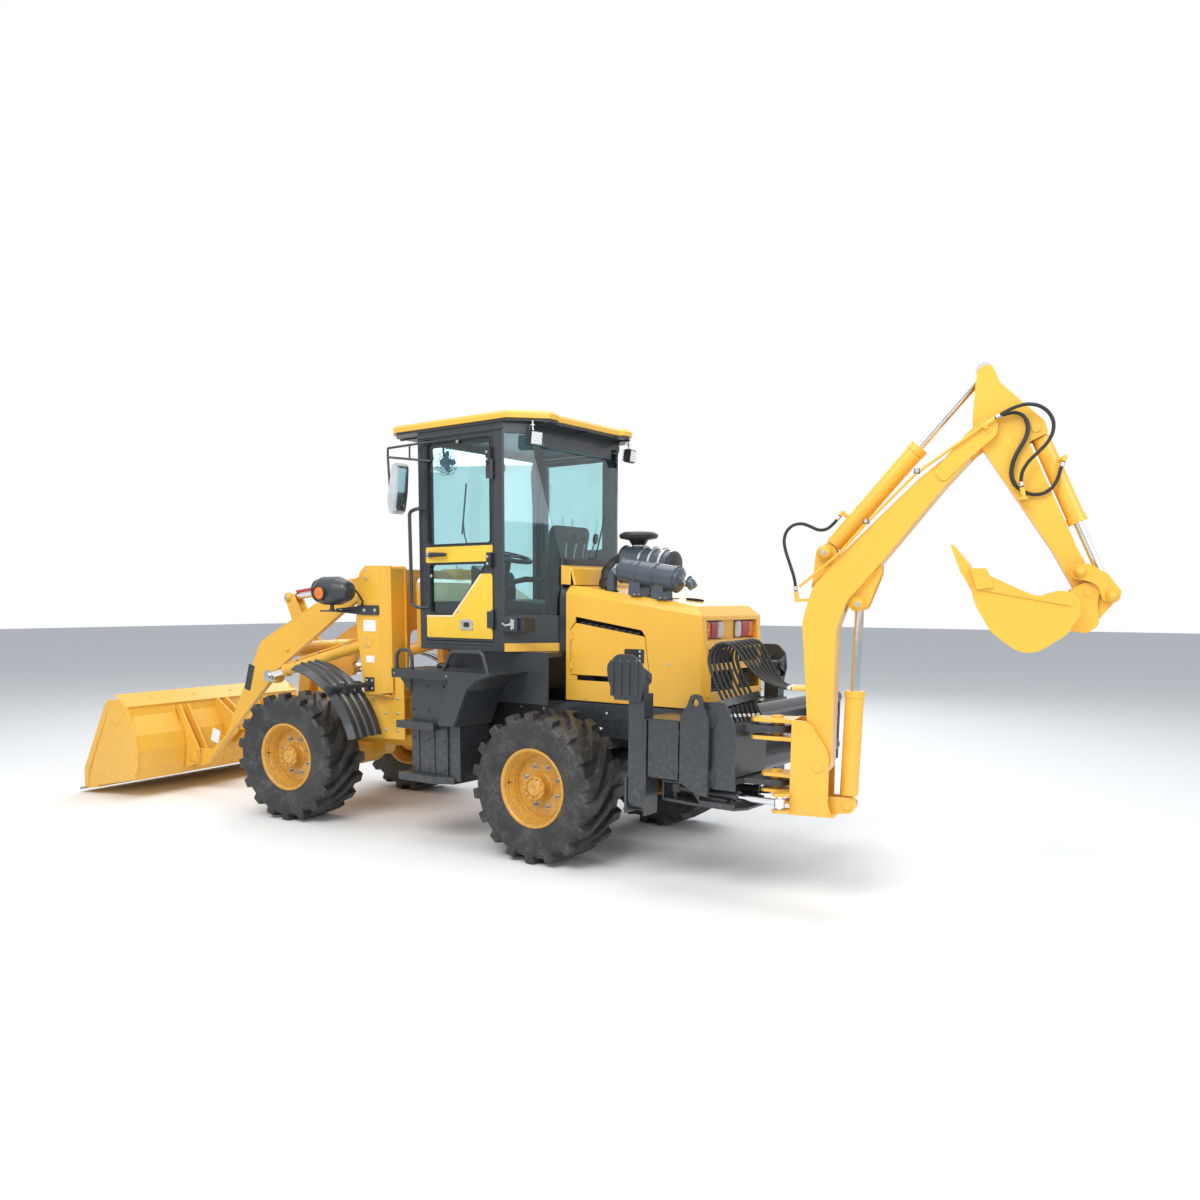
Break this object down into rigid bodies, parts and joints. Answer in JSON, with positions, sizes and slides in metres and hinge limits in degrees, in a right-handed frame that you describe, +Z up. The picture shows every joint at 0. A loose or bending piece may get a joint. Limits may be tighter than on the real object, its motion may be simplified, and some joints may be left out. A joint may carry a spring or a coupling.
{
  "type": "articulated backhoe loader",
  "caption": "Articulated wheeled loader with a front bucket on bent arms, a glazed cab, a rear engine hood and a side-shifting digging arm at the back.",
  "frame": {"origin": "on the ground, under the middle of the rear axle", "axes": "+X towards the rear of the machine and its digging arm, +Y to its right, +Z up"},
  "size_m": [8.7568, 2.5813, 3.1203],
  "materials": {
    "yellow_paint": "semi-gloss enamel",
    "grey_paint": "satin",
    "chrome": "polished",
    "glass": "clear tinted",
    "tyre_rubber": "matte",
    "black_plastic": "moulded",
    "seat_cover": "coated fabric",
    "engine_iron": "rough",
    "hose_rubber": "matte"
  },
  "bodies": {
    "root": {"rear_frame": "grey_paint", "rear_axle": "yellow_paint", "engine_block": "engine_iron", "hood": "yellow_paint", "muffler": "grey_paint", "air_cleaner": "grey_paint", "cab_frame": "grey_paint", "cab_bodywork": "yellow_paint", "cab_glass": "glass", "seat": "seat_cover", "steering_console": "black_plastic", "platforms": "grey_paint", "hoe_frame": "grey_paint"},
    "front_frame": {"front_frame": "yellow_paint", "front_axle": "yellow_paint", "fenders_and_lamps": "black_plastic"},
    "wheel_front_left": {"wheel_front_left": "tyre_rubber"},
    "wheel_front_right": {"wheel_front_right": "tyre_rubber"},
    "wheel_rear_left": {"wheel_rear_left": "tyre_rubber"},
    "wheel_rear_right": {"wheel_rear_right": "tyre_rubber"},
    "cab_door_left": {"cab_door_left": "grey_paint", "cab_door_left_glass": "glass"},
    "cab_door_right": {"cab_door_right": "grey_paint", "cab_door_right_glass": "glass"},
    "hood_door_left": {"hood_door_left": "yellow_paint"},
    "hood_door_right": {"hood_door_right": "yellow_paint"},
    "tool_box_door": {"tool_box_door": "grey_paint"},
    "loader_arms": {"loader_arms": "yellow_paint"},
    "loader_bucket": {"loader_bucket": "yellow_paint"},
    "bellcrank": {"bellcrank": "yellow_paint"},
    "loader_link": {"loader_link": "yellow_paint"},
    "tilt_ram_barrel": {"tilt_ram_barrel": "yellow_paint"},
    "tilt_ram_rod": {"tilt_ram_rod": "chrome"},
    "lift_ram_barrel": {"lift_ram_barrel": "yellow_paint"},
    "lift_ram_rod": {"lift_ram_rod": "chrome"},
    "steering_ram_barrel": {"steering_ram_barrel": "yellow_paint"},
    "steering_ram_rod": {"steering_ram_rod": "chrome"},
    "carriage": {"carriage": "grey_paint", "hoe_hoses": "hose_rubber"},
    "swing_post": {"swing_post": "yellow_paint"},
    "boom": {"boom": "yellow_paint", "boom_tip_hoses": "hose_rubber"},
    "dipper": {"dipper": "yellow_paint"},
    "hoe_bucket": {"hoe_bucket": "yellow_paint"},
    "rocker": {"rocker": "yellow_paint"},
    "hoe_link": {"hoe_link": "yellow_paint"},
    "boom_ram_barrel": {"boom_ram_barrel": "yellow_paint"},
    "boom_ram_rod": {"boom_ram_rod": "chrome"},
    "dipper_ram_barrel": {"dipper_ram_barrel": "yellow_paint"},
    "dipper_ram_rod": {"dipper_ram_rod": "chrome"},
    "hoe_bucket_ram_barrel": {"hoe_bucket_ram_barrel": "yellow_paint"},
    "hoe_bucket_ram_rod": {"hoe_bucket_ram_rod": "chrome"},
    "swing_ram_left_barrel": {"swing_ram_left_barrel": "yellow_paint"},
    "swing_ram_left_rod": {"swing_ram_left_rod": "chrome"},
    "swing_ram_right_barrel": {"swing_ram_right_barrel": "yellow_paint"},
    "swing_ram_right_rod": {"swing_ram_right_rod": "chrome"},
    "outrigger_left": {"outrigger_left": "grey_paint"},
    "outrigger_right": {"outrigger_right": "grey_paint"},
    "outrigger_pad_left": {"outrigger_pad_left": "grey_paint"},
    "outrigger_pad_right": {"outrigger_pad_right": "grey_paint"}
  },
  "joints": [
    {"name": "articulation", "type": "hinge", "parent": "root", "child": "front_frame", "pos_m": [-1.31, 0, 0.75], "axis": [0, 0, 1], "range_deg": [-42.5, 27.5]},
    {"name": "wheel_front_left_spin", "type": "hinge", "parent": "front_frame", "child": "wheel_front_left", "pos_m": [-2.50633, -0.94927, 0.528], "axis": [-0.1305, 0.9914, 0], "continuous": true},
    {"name": "wheel_front_right_spin", "type": "hinge", "parent": "front_frame", "child": "wheel_front_right", "pos_m": [-2.71126, 0.6073, 0.528], "axis": [-0.1305, 0.9914, 0], "continuous": true},
    {"name": "wheel_rear_left_spin", "type": "hinge", "parent": "root", "child": "wheel_rear_left", "pos_m": [0, -0.785, 0.528], "axis": [0, 1, 0], "continuous": true},
    {"name": "wheel_rear_right_spin", "type": "hinge", "parent": "root", "child": "wheel_rear_right", "pos_m": [0, 0.785, 0.528], "axis": [0, 1, 0], "continuous": true},
    {"name": "loader_lift", "type": "hinge", "parent": "front_frame", "child": "loader_arms", "pos_m": [-1.98418, -0.08876, 2.008], "axis": [-0.1305, 0.9914, 0], "range_deg": [-2, 62]},
    {"name": "loader_dump", "type": "hinge", "parent": "loader_arms", "child": "loader_bucket", "pos_m": [-4.22485, -0.38375, 0.345], "axis": [0.1305, -0.9914, 0], "range_deg": [-38, 48]},
    {"name": "lift_ram_turn", "type": "hinge", "parent": "front_frame", "child": "lift_ram_barrel", "pos_m": [-1.97923, -0.08811, 1.478], "axis": [-0.1305, 0.9914, 0], "range_deg": [-2.11, 59.46]},
    {"name": "lift_ram_stroke", "type": "slide", "parent": "lift_ram_barrel", "child": "lift_ram_rod", "axis": [-0.9564, -0.1259, -0.2637], "range_m": [-0.01974, 0.55198]},
    {"name": "bellcrank_turn", "type": "hinge", "parent": "loader_arms", "child": "bellcrank", "pos_m": [-3.17887, -0.24604, 1.342], "axis": [-0.1305, 0.9914, 0], "range_deg": [-15.13, 19.06]},
    {"name": "loader_link_turn", "type": "hinge", "parent": "bellcrank", "child": "loader_link", "pos_m": [-3.32263, -0.26497, 0.69], "axis": [-0.1305, 0.9914, 0], "range_deg": [-23.13, 18.35]},
    {"name": "tilt_ram_turn", "type": "hinge", "parent": "loader_arms", "child": "tilt_ram_barrel", "pos_m": [-1.98418, -0.08876, 2.008], "axis": [-0.1305, 0.9914, 0], "range_deg": [-1.74, 2.15]},
    {"name": "tilt_ram_stroke", "type": "slide", "parent": "tilt_ram_barrel", "child": "tilt_ram_rod", "axis": [-0.9841, -0.1296, -0.1218], "range_m": [-0.17561, 0.13944]},
    {"name": "steering_ram_turn", "type": "hinge", "parent": "root", "child": "steering_ram_barrel", "pos_m": [-0.95, -0.23, 1.13], "axis": [0, 0, 1], "range_deg": [-20.84, 13.55]},
    {"name": "steering_ram_stroke", "type": "slide", "parent": "steering_ram_barrel", "child": "steering_ram_rod", "axis": [-0.998, -0.0635, 0], "range_m": [-0.10729, 0.16471]},
    {"name": "side_shift", "type": "slide", "parent": "root", "child": "carriage", "axis": [0, 1, 0], "range_m": [0, 1.49]},
    {"name": "hoe_swing", "type": "hinge", "parent": "carriage", "child": "swing_post", "pos_m": [1.72, -0.75, 0.9], "axis": [0, 0, 1], "range_deg": [-94.3, 65.7], "deforming": ["hoe_hoses"]},
    {"name": "swing_ram_left_turn", "type": "hinge", "parent": "carriage", "child": "swing_ram_left_barrel", "pos_m": [1.08, -0.835, 0.648], "axis": [0, 0, 1], "range_deg": [-9.16, 6.44]},
    {"name": "swing_ram_left_stroke", "type": "slide", "parent": "swing_ram_left_barrel", "child": "swing_ram_left_rod", "axis": [0.996, -0.0899, 0], "range_m": [-0.22584, 0.15795]},
    {"name": "swing_ram_right_turn", "type": "hinge", "parent": "carriage", "child": "swing_ram_right_barrel", "pos_m": [1.08, -0.665, 0.648], "axis": [0, 0, 1], "range_deg": [-9.16, 6.44]},
    {"name": "swing_ram_right_stroke", "type": "slide", "parent": "swing_ram_right_barrel", "child": "swing_ram_right_rod", "axis": [0.9893, 0.1456, 0], "range_m": [-0.15795, 0.22584]},
    {"name": "boom_lower", "type": "hinge", "parent": "swing_post", "child": "boom", "pos_m": [1.97679, -0.68454, 0.865], "axis": [-0.247, 0.969, 0], "range_deg": [-12, 80]},
    {"name": "boom_ram_turn", "type": "hinge", "parent": "swing_post", "child": "boom_ram_barrel", "pos_m": [2.13183, -0.64502, 0.64], "axis": [-0.247, 0.969, 0], "range_deg": [-10.84, 71.16]},
    {"name": "boom_ram_stroke", "type": "slide", "parent": "boom_ram_barrel", "child": "boom_ram_rod", "axis": [0.0168, 0.0043, 0.9999], "range_m": [-0.32677, 0.05072]},
    {"name": "dipper_crowd", "type": "hinge", "parent": "boom", "child": "dipper", "pos_m": [2.74231, -0.48942, 2.7], "axis": [-0.247, 0.969, 0], "range_deg": [-75, 20], "deforming": ["boom_tip_hoses"]},
    {"name": "dipper_ram_turn", "type": "hinge", "parent": "boom", "child": "dipper_ram_barrel", "pos_m": [1.96419, -0.68776, 2.08], "axis": [-0.247, 0.969, 0], "range_deg": [-7, 2.01]},
    {"name": "dipper_ram_stroke", "type": "slide", "parent": "dipper_ram_barrel", "child": "dipper_ram_rod", "axis": [0.6237, 0.159, 0.7653], "range_m": [-0.35892, 0.09718]},
    {"name": "hoe_bucket_curl", "type": "hinge", "parent": "dipper", "child": "hoe_bucket", "pos_m": [3.25783, -0.35801, 1.857], "axis": [-0.247, 0.969, 0], "range_deg": [-120, 0]},
    {"name": "rocker_turn", "type": "hinge", "parent": "dipper", "child": "rocker", "pos_m": [3.20938, -0.37036, 1.96], "axis": [-0.247, 0.969, 0], "range_deg": [-79.08, 0.2]},
    {"name": "hoe_link_turn", "type": "hinge", "parent": "rocker", "child": "hoe_link", "pos_m": [3.35957, -0.33208, 1.842], "axis": [-0.247, 0.969, 0], "range_deg": [-0.2, 19.5]},
    {"name": "hoe_bucket_ram_turn", "type": "hinge", "parent": "dipper", "child": "hoe_bucket_ram_barrel", "pos_m": [2.97487, -0.43014, 2.697], "axis": [-0.247, 0.969, 0], "range_deg": [-9.77, 0.2]},
    {"name": "hoe_bucket_ram_stroke", "type": "slide", "parent": "hoe_bucket_ram_barrel", "child": "hoe_bucket_ram_rod", "axis": [0.4081, 0.104, -0.907], "range_m": [-0.20843, 0.002]},
    {"name": "outrigger_left_lower", "type": "hinge", "parent": "root", "child": "outrigger_left", "pos_m": [0.8725, -0.93, 0.56], "axis": [1, 0, 0], "range_deg": [0, 132]},
    {"name": "outrigger_pad_left_turn", "type": "hinge", "parent": "outrigger_left", "child": "outrigger_pad_left", "pos_m": [0.8725, -0.93, 1.33], "axis": [-1, 0, 0], "range_deg": [0, 45]},
    {"name": "outrigger_right_lower", "type": "hinge", "parent": "root", "child": "outrigger_right", "pos_m": [0.8725, 0.93, 0.56], "axis": [-1, 0, 0], "range_deg": [0, 132]},
    {"name": "outrigger_pad_right_turn", "type": "hinge", "parent": "outrigger_right", "child": "outrigger_pad_right", "pos_m": [0.8725, 0.93, 1.33], "axis": [1, 0, 0], "range_deg": [0, 45]},
    {"name": "cab_door_left_hinge", "type": "hinge", "parent": "root", "child": "cab_door_left", "pos_m": [-0.55, -0.726, 2.2], "axis": [0, 0, 1], "range_deg": [0, 95]},
    {"name": "hood_door_left_hinge", "type": "hinge", "parent": "root", "child": "hood_door_left", "pos_m": [-0.072, -0.417, 1.45], "axis": [0, 0, -1], "range_deg": [0, 100]},
    {"name": "cab_door_right_hinge", "type": "hinge", "parent": "root", "child": "cab_door_right", "pos_m": [-0.55, 0.726, 2.2], "axis": [0, 0, -1], "range_deg": [0, 95]},
    {"name": "hood_door_right_hinge", "type": "hinge", "parent": "root", "child": "hood_door_right", "pos_m": [-0.072, 0.417, 1.45], "axis": [0, 0, 1], "range_deg": [0, 100]},
    {"name": "tool_box_door_hinge", "type": "hinge", "parent": "root", "child": "tool_box_door", "pos_m": [1.179, -0.982, 0.9], "axis": [0, 0, 1], "range_deg": [0, 100]}
  ],
  "couplings": [
    {"joint": "lift_ram_turn", "follows": "loader_lift", "ratio": 0.95579},
    {"joint": "lift_ram_stroke", "follows": "loader_lift", "m_per_rad": 0.50826},
    {"joint": "bellcrank_turn", "follows": "loader_dump", "ratio": 0.39283},
    {"joint": "loader_link_turn", "follows": "loader_dump", "ratio": -0.47772},
    {"joint": "tilt_ram_turn", "follows": "loader_dump", "ratio": 0.040565},
    {"joint": "tilt_ram_stroke", "follows": "loader_dump", "m_per_rad": -0.20724},
    {"joint": "steering_ram_turn", "follows": "articulation", "ratio": 0.48562},
    {"joint": "steering_ram_stroke", "follows": "articulation", "m_per_rad": -0.21936},
    {"joint": "swing_ram_left_turn", "follows": "hoe_swing", "ratio": 0.095},
    {"joint": "swing_ram_left_stroke", "follows": "hoe_swing", "m_per_rad": 0.136},
    {"joint": "swing_ram_right_turn", "follows": "hoe_swing", "ratio": 0.095},
    {"joint": "swing_ram_right_stroke", "follows": "hoe_swing", "m_per_rad": -0.136},
    {"joint": "boom_ram_turn", "follows": "boom_lower", "ratio": 0.88702},
    {"joint": "boom_ram_stroke", "follows": "boom_lower", "m_per_rad": -0.2326},
    {"joint": "dipper_ram_turn", "follows": "dipper_crowd", "ratio": 0.090662},
    {"joint": "dipper_ram_stroke", "follows": "dipper_crowd", "m_per_rad": 0.27267},
    {"joint": "rocker_turn", "follows": "hoe_bucket_curl", "ratio": 0.65734},
    {"joint": "hoe_link_turn", "follows": "hoe_bucket_curl", "ratio": -0.16087},
    {"joint": "hoe_bucket_ram_turn", "follows": "hoe_bucket_curl", "ratio": 0.079735},
    {"joint": "hoe_bucket_ram_stroke", "follows": "hoe_bucket_curl", "m_per_rad": 0.098565}
  ]
}
